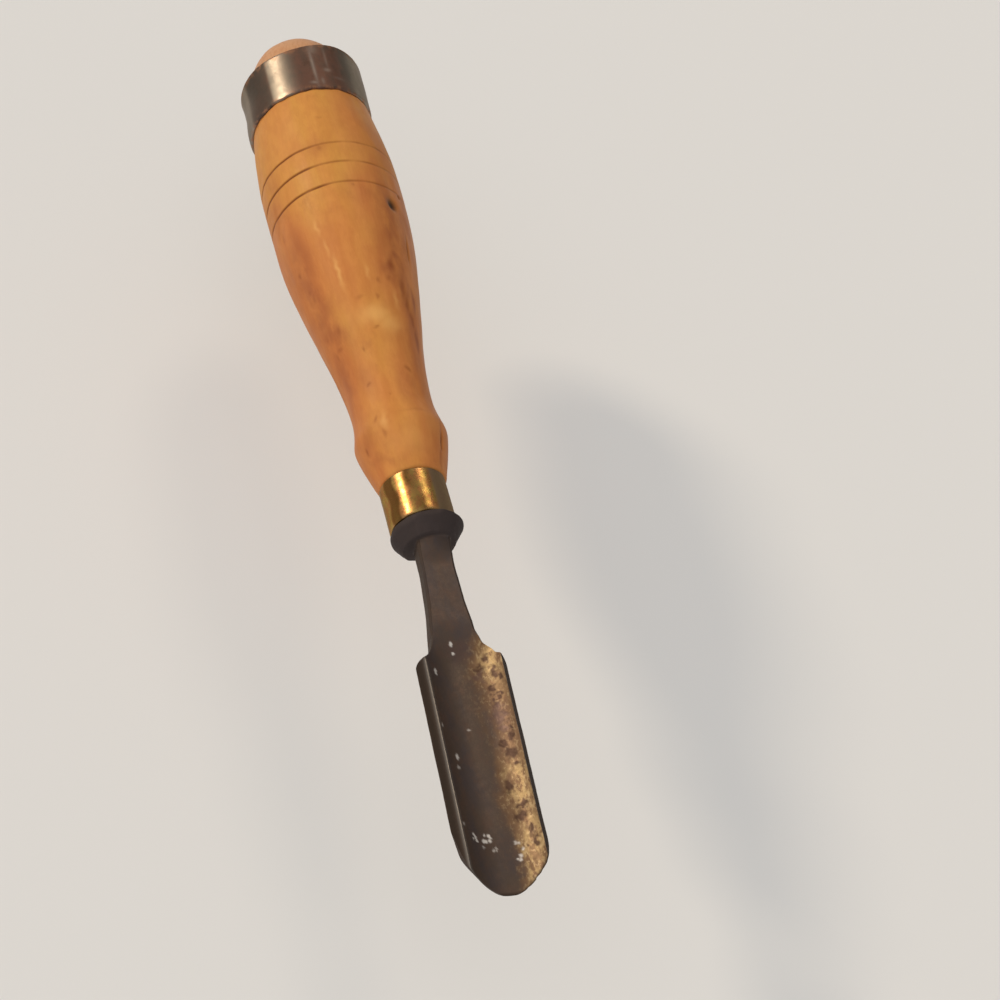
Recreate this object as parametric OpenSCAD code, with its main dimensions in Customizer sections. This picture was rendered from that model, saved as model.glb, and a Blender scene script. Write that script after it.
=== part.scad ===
// Gouge with a turned wooden handle.
// Four pieces come apart on a bench: the handle, its striking hoop, its brass ferrule and the
// forging, which is blade, neck, bolster and tang in one. The tool lies along X with its edge
// towards +X and its flute up. Distances "along the handle" start at the butt face of the hoop,
// and distances "along the forging" start at the seat of the bolster.

/* [Striking hoop] */
// Outside diameter of the hoop
hoop_d = 32; // [30:0.5:34]
// Length of the hoop along the handle
hoop_len = 15; // [10:0.5:20]
// Wall of the hoop
hoop_wall = 2.2; // [1.5:0.1:3]
// Eased edge at both rims of the hoop
hoop_ease = 0.2; // [0.1:0.1:1]
// How far the hoop stands proud of the wood behind it
hoop_stand = 0.4; // [0:0.1:1]

/* [Handle] */
// Height of the domed butt outside the hoop
dome_h = 14; // [6:0.5:18]
// Diameter of the domed butt where it leaves the hoop
dome_d = 25.5; // [18:0.5:26]
// Distance along the handle to its fullest part
belly_at = 42; // [30:1:60]
// Diameter of the fullest part
belly_d = 34.9; // [34:0.1:40]
// How far the fullness carries towards the waist
fullness = 1.2; // [1:0.05:1.8]
// Distance along the handle to the waist
waist_at = 110; // [95:1:113]
// Diameter of the waist
waist_d = 19.9; // [17:0.1:22]
// Distance along the handle to the crest of the bead
bead_at = 118; // [114:0.5:124]
// Diameter of the bead's crest
bead_d = 22.5; // [21:0.1:26]
// How hollow the rise from the waist to the bead is
bead_hollow = 1.5; // [1:0.05:2]
// How round the bead's front is
bead_round = 1.3; // [1:0.05:2]

/* [Turned lines] */
// Number of lines cut round the handle
line_count = 3; // [1:1:4]
// Distance along the handle to the first line
line_at = 35; // [25:1:50]
// Spacing of the lines
line_gap = 6.7; // [3:0.1:8]
// Width of a line
line_w = 0.6; // [0.3:0.1:1.5]
// Depth of a line
line_deep = 0.3; // [0.2:0.1:1]

/* [Ferrule] */
// Distance along the handle to the ferrule
ferrule_at = 131.4; // [128:0.2:136]
// Outside diameter of the ferrule
ferrule_d = 16; // [15:0.2:18]
// Length of the ferrule
ferrule_len = 12.6; // [8:0.2:16]
// Wall of the ferrule
ferrule_wall = 1; // [0.6:0.1:1.4]
// Eased edge at both rims of the ferrule
ferrule_ease = 0.2; // [0.1:0.1:0.4]

/* [Bolster] */
// Largest diameter of the bolster
bolster_d = 17.6; // [16:0.2:20]
// Diameter of the bolster across its eight forged flats
bolster_flats = 16.9; // [15.5:0.1:20]
// Diameter of the bolster at its seat
seat_d = 15.6; // [14:0.1:16]
// Diameter where the bolster meets the neck
bolster_nose_d = 10; // [9.5:0.1:13]
// Length of the rounded back edge
bolster_back = 1; // [0.6:0.1:3]
// Length of the straight rim
bolster_rim = 1; // [0.6:0.1:4]
// Length of the slope from the rim to the neck
bolster_slope = 5; // [3:0.1:8]

/* [Tang] */
// Length of the tang inside the handle
tang_len = 62; // [40:1:75]
// Thickness of the square tang at the bolster
tang_root = 7; // [5:0.1:8]
// Thickness of the tang at its end
tang_end = 3.2; // [2:0.1:4]
// Depth left free beyond the tang's end
socket_spare = 2; // [1:0.5:6]

/* [Neck] */
// Width of the neck at the bolster
neck_w = 8.2; // [7:0.1:9]
// Width of the neck where it runs into the shoulders
neck_shoulder_w = 10.6; // [8:0.1:12]
// Height of the neck's flat top above the tool's axis
neck_top = 3; // [2.4:0.1:3.6]
// Depth of the neck's underside below the axis at the bolster
neck_under = 3.2; // [2.5:0.1:4]
// Chamfer on the neck's four edges
neck_chamfer = 1.2; // [0.5:0.1:1.6]

/* [Blade] */
// Distance along the forging to where the blade has its full width
shoulder_at = 41.3; // [38:0.1:50]
// Radius of the fillet from the neck to a shoulder
shoulder_fillet = 9; // [6:0.5:14]
// Radius of a shoulder's rounded corner
shoulder_round = 2.8; // [1:0.1:4]
// Length of the blade from its shoulders to the edge
blade_len = 57.9; // [40:0.1:80]
// Width of the blade across its lands
blade_w = 21.2; // [18:0.2:26]
// Wall of the blade
blade_wall = 2.6; // [2:0.1:3.2]
// Outside radius of the blade's sweep
sweep_r = 14.5; // [13.5:0.1:18]
// Height of the lands' outer corners above the axis
land_z = 3; // [2:0.1:4]
// Distance along the forging to the middle of the flute's ball end
flute_start = 37; // [34:0.2:46]
// Angle of the ground bevel behind the edge
bevel = 27.5; // [24:0.5:40]
// How far the nose's grinding axis lies below the axis of the sweep
nose_drop = 5.9; // [3:0.1:7]
// Thickness left at the very edge
edge_thick = 0.1; // [0.05:0.05:0.3]

/* [Set of the forging in the handle] */
// Angle by which the forging leans aside from the handle
lean = 2.7; // [0:0.1:4]
// Distance along the forging to the point that it leans about
lean_at = 15; // [5:1:30]

/* [Fits] */
// Radial clearance between the hoop and the handle
hoop_fit = 0.05; // [0.02:0.01:0.2]
// Radial clearance between the ferrule and the handle
ferrule_fit = 0.05; // [0.02:0.01:0.2]
// Clearance round the tang
tang_fit = 0.05; // [0.02:0.01:0.2]
// Clearance between the bolster and what it seats on
seat_fit = 0.05; // [0.02:0.01:0.2]

/* [Hidden] */
$fn = 120;

// Steps along one stretch of the turned outline
steps = 16;
// Number of forged flats round the bolster
bolster_sides = 8;
// Excess length of a cutting tool past what it cuts
past = 1;
// Sink of the neck's flute below the blade's, so that the two never share a surface
flute_sink = 0.02;
// Overlap of two curves that blend, so that they cross instead of touching
crossing = 0.02;

hoop_r = hoop_d / 2;
hoop_bore = hoop_r - hoop_wall;
butt_r = hoop_bore - hoop_fit;
ferrule_r = ferrule_d / 2;
ferrule_bore = ferrule_r - ferrule_wall;
tenon_r = ferrule_bore - ferrule_fit;
belly_r = belly_d / 2;
waist_r = waist_d / 2;
bead_r = bead_d / 2;
seat_at = ferrule_at + ferrule_len;

// Radius of the domed butt and the place of its centre
dome_r = (pow(dome_d / 2, 2) + pow(dome_h, 2)) / (2 * dome_h);
dome_centre = dome_r - dome_h;

bolster_len = bolster_back + bolster_rim + bolster_slope;
// Sideways place of the bolster, which follows the forging's leaning axis
bolster_aside = (lean_at - bolster_back) * sin(lean);
tip_at = shoulder_at + blade_len;

// The blade's section is part of a ring, round an axis above the tool's own
flute_r = sweep_r - blade_wall;
sweep_half = asin(blade_w / 2 / sweep_r);
sweep_z = land_z + sweep_r * cos(sweep_half);
blade_under = sweep_r - sweep_z;

// The shoulder's fillet and its rounded corner are two circles that blend
corner_y = blade_w / 2 - shoulder_round + crossing;
fillet_y = neck_shoulder_w / 2 + shoulder_fillet;
circles_apart = shoulder_fillet + shoulder_round - crossing;
fillet_at = shoulder_at - sqrt(pow(circles_apart, 2) - pow(fillet_y - corner_y, 2));
blend_y = between(fillet_y, corner_y, shoulder_fillet / circles_apart);

// The neck's bar runs on under the flute until the blade's back hides it
bar_len = shoulder_at + blade_len / 3 - bolster_len;
bar_flare = (neck_shoulder_w + 2 * crossing - neck_w) / (fillet_at - bolster_len);

// Ends of the whole tool along the handle, and the middle between them
tool_end = seat_at + lean_at + (tip_at - lean_at) * cos(lean);
tool_mid = (tool_end - dome_h) / 2;

// Gentle S from 0 to 1, and the turned outline's stretches, each a list of [distance, radius]
function ease(t) = t * t * (3 - 2 * t);
function share(i) = i / steps;
function between(a, b, t) = a + (b - a) * t;

dome_line = [
  for (i = [0 : steps])
    let (a = share(i) * atan2(dome_d / 2, dome_centre))
      [dome_centre - dome_r * cos(a), dome_r * sin(a)]
];
back_line = [
  for (i = [0 : steps])
    let (t = 1 - share(i))
      [between(belly_at, hoop_len, t), between(belly_r, hoop_r - hoop_stand, t * t)]
];
grip_line = [
  for (i = [1 : 2 * steps])
    let (t = share(i) / 2)
      [between(belly_at, waist_at, t), between(belly_r, waist_r, ease(pow(t, fullness)))]
];
bead_line = [
  for (i = [1 : steps])
    let (t = share(i))
      [between(waist_at, bead_at, t), between(waist_r, bead_r, pow(t, bead_hollow))]
];
front_line = [
  for (i = [1 : steps])
    let (t = share(i))
      [between(bead_at, ferrule_at, t), between(bead_r, ferrule_r, pow(t, bead_round))]
];

// Solid turned about X from a list of [distance, radius]
module turned(outline) {
  rotate([0, 90, 0])
    rotate_extrude()
      polygon([for (p = outline) [p[1], p[0]]]);
}

// Tube turned about X with eased outer rims
module band(at, len, r, bore, rim) {
  turned([
    [at, bore],
    [at, r - rim],
    [at + rim, r],
    [at + len - rim, r],
    [at + len, r - rim],
    [at + len, bore]
  ]);
}

// Everything stands on Z = 0, with the middle of the tool's length at X = 0
module placed() {
  translate([-tool_mid, 0, belly_r]) children();
}

// From distances along the forging to the handle's own frame
module leaning() {
  translate([seat_at + lean_at, 0, 0])
    rotate([0, 0, -lean])
      translate([-lean_at, 0, 0])
        children();
}

// Slab along X whose half thickness goes from a to b, square to the axis turned by angle
module slab(len, a, b, angle, reach) {
  rotate([angle, 0, 0])
    linear_extrude(height = 2 * reach, center = true)
      polygon([[0, -a[0]], [len, -b[0]], [len, b[1]], [0, a[1]]]);
}

// Square bar that tapers to the end of the tang, grown by a clearance
module tang_bar(len, grow) {
  half_root = tang_root / 2;
  half_end = between(half_root, tang_end / 2, len / tang_len);
  a = half_root + grow;
  b = half_end + grow;
  mirror([1, 0, 0])
    intersection_for (angle = [0, 90])
      slab(len, [a, a], [b, b], angle, tang_root);
}

module handle() {
  outline = concat(
    dome_line,
    [[0, butt_r], [hoop_len, butt_r]],
    back_line,
    grip_line,
    bead_line,
    front_line,
    [[ferrule_at, tenon_r], [seat_at, tenon_r], [seat_at, 0]]
  );
  color("peru")
    placed()
      difference() {
        turned(outline);
        for (i = [0 : line_count - 1])
          line_cutter(line_at + i * line_gap);
        leaning() translate([past, 0, 0]) tang_bar(tang_len + socket_spare + past, tang_fit);
      }
}

// V-shaped cut round the handle, from its depth out past the wood
module line_cutter(at) {
  turned([
    [at, grip_r(at) - line_deep],
    [at + line_w, grip_r(at) + line_deep],
    [at - line_w, grip_r(at) + line_deep]
  ]);
}

// Radius of the grip at a distance along the handle, on either side of the belly
function grip_r(at) =
  at < belly_at
    ? between(belly_r, hoop_r - hoop_stand, pow((belly_at - at) / (belly_at - hoop_len), 2))
    : between(belly_r, waist_r, ease(pow((at - belly_at) / (waist_at - belly_at), fullness)));

module striking_hoop() {
  color("dimgray") placed() band(0, hoop_len, hoop_r, hoop_bore, hoop_ease);
}

module ferrule() {
  color("goldenrod") placed() band(ferrule_at, ferrule_len, ferrule_r, ferrule_bore, ferrule_ease);
}

// Round collar with eight forged flats, square to the handle and centred on the forging
module bolster() {
  rim_at = seat_at + bolster_back;
  slope_at = rim_at + bolster_rim;
  nose_at = slope_at + bolster_slope;
  half_flat = 180 / bolster_sides;
  translate([0, bolster_aside, 0]) intersection() {
    turned([
      [seat_at + seat_fit, 0],
      [seat_at + seat_fit, seat_d / 2],
      [rim_at, bolster_d / 2],
      [slope_at, bolster_d / 2],
      [nose_at, bolster_nose_d / 2],
      [nose_at, 0]
    ]);
    translate([seat_at, 0, 0])
      rotate([0, 90, 0])
        rotate([0, 0, half_flat])
          cylinder(d = bolster_flats / cos(half_flat), h = bolster_len + past, $fn = bolster_sides);
  }
}

// Bar with chamfered edges, from the middle of the bolster to where it has run out into the blade
module neck() {
  start = bolster_len / 2;
  len = bar_len + bolster_len - start;
  half_a = neck_w / 2 - bar_flare * (bolster_len - start) / 2;
  half_b = half_a + bar_flare * len / 2;
  under_b = min(neck_under, blade_under) - flute_sink;
  corner_a = (half_a + neck_top - neck_chamfer) / sqrt(2);
  corner_b = (half_b + neck_top - neck_chamfer) / sqrt(2);
  keel_a = (half_a + neck_under - neck_chamfer) / sqrt(2);
  keel_b = (half_b + under_b - neck_chamfer) / sqrt(2);
  runout_b = sqrt(pow(sweep_r, 2) - pow(half_b, 2)) - sweep_z - flute_sink;
  runout_a = between(runout_b, neck_under, len / (start + len - fillet_at));
  translate([start, 0, 0])
    intersection() {
      slab(len, [half_a, half_a], [half_b, half_b], 0, blade_w);
      slab(len, [neck_under, neck_top], [under_b, neck_top], 90, blade_w);
      slab(len, [runout_a, neck_top + past], [runout_b, neck_top + past], 90, blade_w);
      slab(len, [keel_a, corner_a], [keel_b, corner_b], 45, blade_w);
      slab(len, [keel_a, corner_a], [keel_b, corner_b], 135, blade_w);
    }
}

// Flat outline of the blade and its filleted, rounded shoulders, seen from above
module blade_plan() {
  half = blade_w / 2 + crossing / 2;
  difference() {
    translate([fillet_at, -blend_y])
      square([shoulder_at - fillet_at + past, 2 * blend_y]);
    for (side = [-1, 1])
      translate([fillet_at, side * fillet_y])
        circle(r = shoulder_fillet);
  }
  for (side = [-1, 1])
    translate([shoulder_at, side * corner_y])
      circle(r = shoulder_round);
  translate([shoulder_at, -half])
    square([blade_len + past, 2 * half]);
}

// Part of a ring, open upwards, with lands that point at the axis of the sweep
module blade_section() {
  reach = 2 * sweep_r;
  intersection() {
    difference() {
      circle(r = sweep_r);
      circle(r = flute_r);
    }
    polygon([[0, 0], [-reach * tan(sweep_half), -reach], [reach * tan(sweep_half), -reach]]);
  }
}

// Trough with shoulders behind and a ground nose in front
module blade() {
  nose_r = flute_r - nose_drop + edge_thick;
  cone_len = tip_at - fillet_at + 2 * past;
  intersection() {
    translate([fillet_at - past, 0, sweep_z])
      rotate([90, 0, 90])
        linear_extrude(height = tip_at - fillet_at + 2 * past)
          blade_section();
    translate([0, 0, -blade_w])
      linear_extrude(height = 2 * blade_w)
        blade_plan();
    translate([tip_at - cone_len, 0, sweep_z - nose_drop])
      rotate([0, 90, 0])
        cylinder(h = cone_len, r1 = nose_r + cone_len * tan(bevel), r2 = nose_r);
  }
}

// Ball-ended cutter that carries the flute out of the neck's top
module flute_cutter() {
  r = flute_r + flute_sink;
  translate([flute_start, 0, sweep_z]) {
    sphere(r = r);
    rotate([0, 90, 0]) cylinder(r = r, h = tip_at);
  }
}

module gouge_blade() {
  color("#4d433c")
    placed()
      union() {
        bolster();
        leaning() {
          translate([past, 0, 0]) tang_bar(tang_len + past, 0);
          difference() {
            neck();
            flute_cutter();
          }
          blade();
        }
      }
}

handle();
striking_hoop();
ferrule();
gouge_blade();
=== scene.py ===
"""Gouge with a turned wooden handle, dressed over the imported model.

Lengths of the pieces are in millimetres up to to_frame(); the stage is in metres. Distances along
the handle start at the butt face of the hoop, and distances along the forging start at the seat of
the bolster. Angles round the handle start straight up and grow towards +Y: in the lists of marks
they are in degrees, elsewhere in radians unless a name says degrees.
"""
import math

import bmesh
import bpy
import numpy as np
from mathutils import Matrix, Vector


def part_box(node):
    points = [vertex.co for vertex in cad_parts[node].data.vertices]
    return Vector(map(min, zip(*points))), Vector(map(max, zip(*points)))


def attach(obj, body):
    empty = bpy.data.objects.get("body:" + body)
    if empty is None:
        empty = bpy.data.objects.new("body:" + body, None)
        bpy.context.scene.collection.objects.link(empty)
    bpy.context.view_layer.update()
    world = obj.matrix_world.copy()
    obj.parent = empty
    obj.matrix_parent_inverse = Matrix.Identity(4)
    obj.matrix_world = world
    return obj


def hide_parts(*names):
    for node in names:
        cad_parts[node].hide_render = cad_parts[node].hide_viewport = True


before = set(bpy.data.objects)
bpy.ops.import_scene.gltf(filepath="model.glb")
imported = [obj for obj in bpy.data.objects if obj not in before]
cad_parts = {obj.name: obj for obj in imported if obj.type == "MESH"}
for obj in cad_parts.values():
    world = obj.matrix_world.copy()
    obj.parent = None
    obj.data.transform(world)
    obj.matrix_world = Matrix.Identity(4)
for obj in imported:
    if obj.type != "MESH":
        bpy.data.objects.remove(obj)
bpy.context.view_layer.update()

MM = 0.001

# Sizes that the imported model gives
hoop_low, hoop_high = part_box("striking_hoop")
ferrule_low, ferrule_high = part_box("ferrule")
handle_low, handle_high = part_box("handle")
BUTT_X = hoop_low.x
AXIS_Z = (hoop_low.z + hoop_high.z) / 2
HOOP_LEN = (hoop_high.x - hoop_low.x) / MM
HOOP_R = (hoop_high.z - hoop_low.z) / 2 / MM
FERRULE_AT = (ferrule_low.x - BUTT_X) / MM
FERRULE_LEN = (ferrule_high.x - ferrule_low.x) / MM
FERRULE_R = (ferrule_high.z - ferrule_low.z) / 2 / MM
SEAT_AT = FERRULE_AT + FERRULE_LEN
DOME_H = (BUTT_X - handle_low.x) / MM
BELLY_R = (handle_high.z - handle_low.z) / 2 / MM

# Sizes of the handle, its hoop and its ferrule
HOOP_WALL = 2.2
FERRULE_WALL = 1.0
FIT = 0.05
HOOP_ROLL = 0.45
FERRULE_ROLL = 0.3
LIP = 0.4
DOME_RIM = 12.75
DOME_STEP = 0.6
DOME_RINGS = 44
BACK_R = 15.6
BELLY_AT = 42.0
FULLNESS = 1.2
WAIST_AT = 110.0
WAIST_R = 9.95
BEAD_AT = 118.0
BEAD_R = 11.25
BEAD_HOLLOW = 1.5
BEAD_ROUND = 1.3
LINES = (35.1, 41.7, 48.4)
LINE_DEEP = 0.22
LINE_HALF = 0.52
LINE_NARROW = 1.5
LINE_STEEP = 2.4
LINE_FAINT = 0.35
LINE_CLEAR = ((-3.1, -2.3), (-0.75, -0.05))
KNOT_DEEP = 0.7
SPOT_DEEP = 0.04
SCRATCH_DEEP = 0.08
RUB_REACH = 0.9
SWELL = 0.3
SWELL_AT = 62.0
SWELL_HALF = 13.0
DRIFT = 0.3
DRIFTING = (70, 115)
END_EASE = 0.3
END_EASE_HALF = 0.25
EDGE_BACK = -0.25
EDGE_SLANT = -0.45
EDGE_RAGGED = 0.08
EDGE_REACH = 6.0
ROUND = 288
RING_STEP = 0.45
MOUTH_SHARE = 1.6

# Sizes of the forging
LEAN = math.radians(2.7)
LEAN_AT = 15.0
TANG_LEN = 62.0
TANG_ROOT = 3.5
TANG_END = 1.6
SOCKET_SPARE = 2.0
SEAT_R = 7.9
BACK_SLOPE = 1.5
RIM_R = 8.9
FLAT_R = 8.5
FLAT_OVAL = 0.3
FLAT_UNEVEN = 0.06
COLLAR_AT = 1.2
COLLAR_SLOPE = 0.62
COLLAR_SLANT = 0.55
COLLAR_END = 16.0
COLLAR_POWER = 14
UNDER_R = 8.2
UNDER_SLOPE = 0.85
FOOT_R = 6.6
FOOT_AT = 5.2
FOOT_SLOPE = 4.0
FOOT_SLANT = 0.2
RAMP_H = 3.0
RAMP_FROM = 4.5
RAMP_LEN = 8
RAMP_CURVE = 1.9
RAMP_CROWN = 0.75
NECK_FROM = 7.0
NECK_HALF = 4.1
NECK_SLIM = 0.4
NECK_TOP = 3.0
NECK_UNDER = 3.2
NECK_ROUND = 0.7
KEEL_ROUND = 2.4
KEEL_END = 1.0
SHOULDER_HALF = 5.3
FILLET_AT = 31.45
FILLET_R = 9.0
SHOULDER_AT = 41.3
SHOULDER_R = 2.8
BLADE_HALF = 10.6
SWEEP_R = 14.5
FLUTE_R = 11.9
SWEEP_Z = 12.895
RUN_FROM = 27.0
RUN_TO = 40.0
BAR_END = 60.6
NOSE_DROP = 5.9
EDGE = 0.1
LEFT_BLEND = 4.0
RIGHT_BLEND = 1.2
TIP = 99.2
BEVEL = math.radians(27.5)
SWEEP_HALF = math.asin(BLADE_HALF / SWEEP_R)
LEFT_LAND = math.radians(44.4)
RIGHT_LAND = math.radians(49.3)
LEFT_SLOPE = 0.61
RIGHT_SLOPE = 1.35
LEAST_LAND = 0.3
FLUTE_FROM = 24
BEND = 0.43 * math.pi
FAR_UP = 40.0
FLARE = 0.55
CORNER = 0.4
CORNER_AT = 36.2
CORNER_HALF = 1.5

# Ranges along the forging over which one shape gives way to the next
SQUARE_TO_LEANED = (5.0, 9.5)
KEEL_TO_SQUARE = (26, 34)
NECK_TO_BLADE = (29, 36)
SIDE_TO_NOSE = (80, 86)
LANDS_END = (92, 95)
SLIMMED = ((6, 14), (22, 30))
FLARED = ((30, 33), (36.8, 38.8))

# Finish of the meshes
MERGE = 0.004
SLIVER = 0.002
SHARP = math.radians(50)

# Smooth noise
WAVES = 28
WAVE_SCALE = 2.2

# Unevenness of surfaces, and of the flute's patina and painted highlight in degrees: height, size of
# the waves, seed
WOOD_WAVES = ((0.1, 30, 3), (0.035, (9, 5, 5), 4), (0.012, (5, 1.6, 1.6), 5))
FORGED_WAVES = ((0.025, 7, 21), (0.008, 1.8, 22))
SCALE_WAVES = ((0.05, 4, 23), (0.02, 1.5, 24))
GOLD_WAVES = ((2.2, (5, 2, 2), 51), (1.2, 1.4, 52))

# How the outlines of marks stray: distance along and across, size of the waves, seed
SPOT_STRAY = (0.2, 0.2, 2.2, 31)
STAIN_STRAY = (2.0, 1.1, (9, 4, 4), 33)
PIT_STRAY = (0.35, 0.35, 0.9, 53)
FLECK_STRAY = (0.09, 0.09, 0.6, 55)


# Small helpers for shapes

def between(a, b, t):
    """Value at share t of the way from a to b."""
    return a + (b - a) * t


def unit(t):
    """Value held between 0 and 1."""
    return np.clip(t, 0.0, 1.0)


def ease(t):
    """Smooth step from 0 to 1."""
    t = unit(t)
    return t * t * (3 - 2 * t)


def rise(value, low, high):
    """0 up to low, 1 from high on, and eased between them."""
    return ease((value - low) / (high - low))


def stripe(value, start, end):
    """1 between two edges, each eased over its own range, and 0 beyond them."""
    return rise(value, *start) * (1 - rise(value, *end))


def hump(x, half):
    """Bell of unit height and that half width."""
    return np.exp(-(x / half) ** 2)


def signed(angle):
    """The same angle, between minus and plus half a turn."""
    return (angle + math.pi) % (2 * math.pi) - math.pi


def ripple(points, size, seed):
    """Smooth noise of about unit height, from seeded waves with features of that size."""
    rng = np.random.default_rng(seed)
    waves = rng.normal(size=(WAVES, 3)) * (WAVE_SCALE / np.asarray(size, float))
    phases = rng.uniform(0, 2 * math.pi, WAVES)
    flat = points.reshape(-1, 3)
    total = np.cos(flat @ waves.T + phases).sum(1) / math.sqrt(WAVES / 2)
    return total.reshape(points.shape[:-1])


def uneven(points, waves):
    """Sum of ripples, each given by its height, size and seed."""
    return sum(height * ripple(points, size, seed) for height, size, seed in waves)


def strayed(at, turn, radius, points, stray):
    """Distances and angles moved by smooth noise, which gives marks uneven outlines."""
    along, across, size, seed = stray
    at = at + along * ripple(points, size, seed)
    turn = turn + across * ripple(points, size, seed + 1) / radius
    return at, turn


def to_frame(points):
    """Handle millimetres, about the handle's axis, to the model's metres."""
    return points * MM + np.array([BUTT_X, 0.0, AXIS_Z])


def from_frame(points):
    """The model's metres to handle millimetres."""
    return (points - np.array([BUTT_X, 0.0, AXIS_Z])) / MM


def turned(x, r, angle):
    """Points at distances x and radii r round the handle."""
    x, r, angle = np.broadcast_arrays(x, r, angle)
    return np.stack([x, r * np.sin(angle), r * np.cos(angle)], -1)


def grid_faces(rows, cols, wrap):
    """Quads of a grid whose columns go round, and whose rows do too where wrap is set."""
    row = np.arange(rows if wrap else rows - 1)[:, None]
    col = np.arange(cols)[None, :]
    right = (col + 1) % cols
    below = (row + 1) % rows
    corners = [row * cols + col, row * cols + right, below * cols + right, below * cols + col]
    return np.stack(np.broadcast_arrays(*corners), -1).reshape(-1, 4).tolist()


def fan(first, cols, centre):
    """Triangles from a ring of points to its centre."""
    return [[first + i, first + (i + 1) % cols, centre] for i in range(cols)]


def lofted(name, grid, marks, wrap=False):
    """Closed mesh object through a grid of points in handle millimetres, with named vertex marks."""
    rows, cols = grid.shape[:2]
    points = grid.reshape(-1, 3)
    values = {key: np.broadcast_to(mark, (rows, cols)).reshape(-1) for key, mark in marks.items()}
    faces = grid_faces(rows, cols, wrap)
    if not wrap:
        ends = np.stack([grid[0].mean(0), grid[-1].mean(0)])
        faces += fan(0, cols, len(points))
        faces += fan((rows - 1) * cols, cols, len(points) + 1)
        points = np.concatenate([points, ends])
        values = {key: np.append(mark, [mark[0], mark[-1]]) for key, mark in values.items()}
    mesh = bpy.data.meshes.new(name)
    mesh.from_pydata(to_frame(points).tolist(), [], faces)
    for key, mark in values.items():
        layer = mesh.attributes.new(key, "FLOAT", "POINT")
        layer.data.foreach_set("value", mark.astype(np.float32))
    tidy(mesh)
    piece = bpy.data.objects.new(name, mesh)
    bpy.context.scene.collection.objects.link(piece)
    return piece


def tidy(mesh):
    """Merges doubled points, turns all faces outwards and shades smooth up to sharp arrises."""
    work = bmesh.new()
    work.from_mesh(mesh)
    bmesh.ops.remove_doubles(work, verts=work.verts, dist=MERGE * MM)
    bmesh.ops.dissolve_degenerate(work, edges=work.edges, dist=SLIVER * MM)
    bmesh.ops.recalc_face_normals(work, faces=work.faces)
    work.to_mesh(mesh)
    work.free()
    mesh.shade_smooth()
    mesh.set_sharp_from_angle(angle=SHARP)


def dressed(piece, node, material):
    """Puts a finished piece in its node's place."""
    piece.data.materials.append(material)
    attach(piece, "root")
    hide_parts(node)


def spots(x, angle, radius, marks, power):
    """Strength of a list of marks at each point of a round surface, from 0 to 1."""
    total = np.zeros(np.broadcast(x, angle).shape)
    for at, turn, half_len, half_wide, strength in marks:
        aside = signed(angle - math.radians(turn))
        far = ((x - at) / half_len) ** 2 + (aside * radius / half_wide) ** 2
        total = np.maximum(total, strength * np.exp(-far ** power))
    return total


# Handle

# Marks in the wood: distance along the handle, angle, half length and half width, strength
KNOTS = (
    (53.6, 38, 1.8, 1.6, 1), (49, 51.5, 0.6, 0.6, 0.6), (123.4, 48, 2, 0.4, 0.9),
    (66.5, 48.5, 4, 0.35, 0.5), (61, 140, 0.8, 0.5, 0.7), (88, 196, 1.4, 0.8, 0.8),
)
SPOTS = (
    (73.5, 22, 1.5, 1.4, 1), (68.1, -72, 0.9, 0.7, 0.8), (74.2, -69, 0.7, 0.7, 0.6),
    (76.9, -67, 1, 0.8, 0.5), (55.5, -76, 0.9, 0.6, 0.4), (78.4, 5, 0.8, 0.7, 0.6),
    (77.7, 16, 0.7, 0.7, 0.5), (82.9, 0, 0.8, 0.6, 0.6), (82.4, -18, 0.6, 1.3, 0.4),
    (49.7, 2, 0.6, 0.5, 0.6), (36.2, -17, 0.9, 0.9, 0.55), (88.3, -55, 1, 0.6, 0.5),
    (92.7, -62, 0.5, 1.3, 0.5), (93.8, -70, 0.8, 0.6, 0.6), (95.9, -30, 0.6, 0.4, 0.75),
    (91.3, -9, 0.4, 0.9, 0.8), (105.3, -39, 0.6, 0.6, 0.8), (110.1, -16, 0.5, 0.4, 0.35),
    (116.6, -41, 1.2, 0.5, 0.6), (121.1, -36, 0.9, 0.6, 0.5), (122.7, -70, 1, 0.5, 0.9),
    (25.3, -9, 0.6, 0.8, 0.3), (103.2, 20, 1, 0.7, 0.8), (116.5, 10, 0.5, 4.5, 0.25),
    (80, 33, 2.6, 1.1, 0.8), (84, 38, 2.8, 1.1, 0.9), (88, 43, 2.6, 1, 0.9),
    (92, 47, 2.6, 0.9, 0.8), (124.5, 47, 6.5, 0.6, 0.8), (30, -120, 0.8, 0.7, 0.6),
    (102, 110, 0.7, 0.6, 0.6), (58, 175, 0.9, 0.8, 0.7), (76, 150, 0.7, 0.6, 0.5),
    (112, 170, 0.8, 0.6, 0.6), (45, 105, 0.7, 0.6, 0.5),
)
STAINS = (
    (62, 31, 12, 5, 0.85), (73.5, 22, 3.6, 3.4, 0.9), (79.5, 33, 5, 2, 0.8),
    (84.5, 40, 5.5, 1.2, 0.95), (92.5, 47, 3.5, 0.9, 0.9), (97, 36, 10, 2.6, 0.45),
    (108.5, 26, 6, 3.2, 0.45), (51.5, 19, 3.2, 5, 0.5), (66, -68, 9, 5, 0.6),
    (77, -67, 9, 5.2, 0.75), (89, -66, 9, 4.6, 0.75), (101, -70, 9, 4, 0.65),
    (46, -76, 12, 3.5, 0.4), (122, -60, 5, 5.5, 0.45), (129, -40, 2.2, 8, 0.5),
    (126, 36, 6, 3, 0.15), (37, 40, 12, 4, 0.15), (36, -16, 2, 2, 0.35),
    (70, 120, 20, 7, 0.5), (45, 200, 18, 8, 0.5), (95, -130, 15, 6, 0.5),
)
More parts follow.
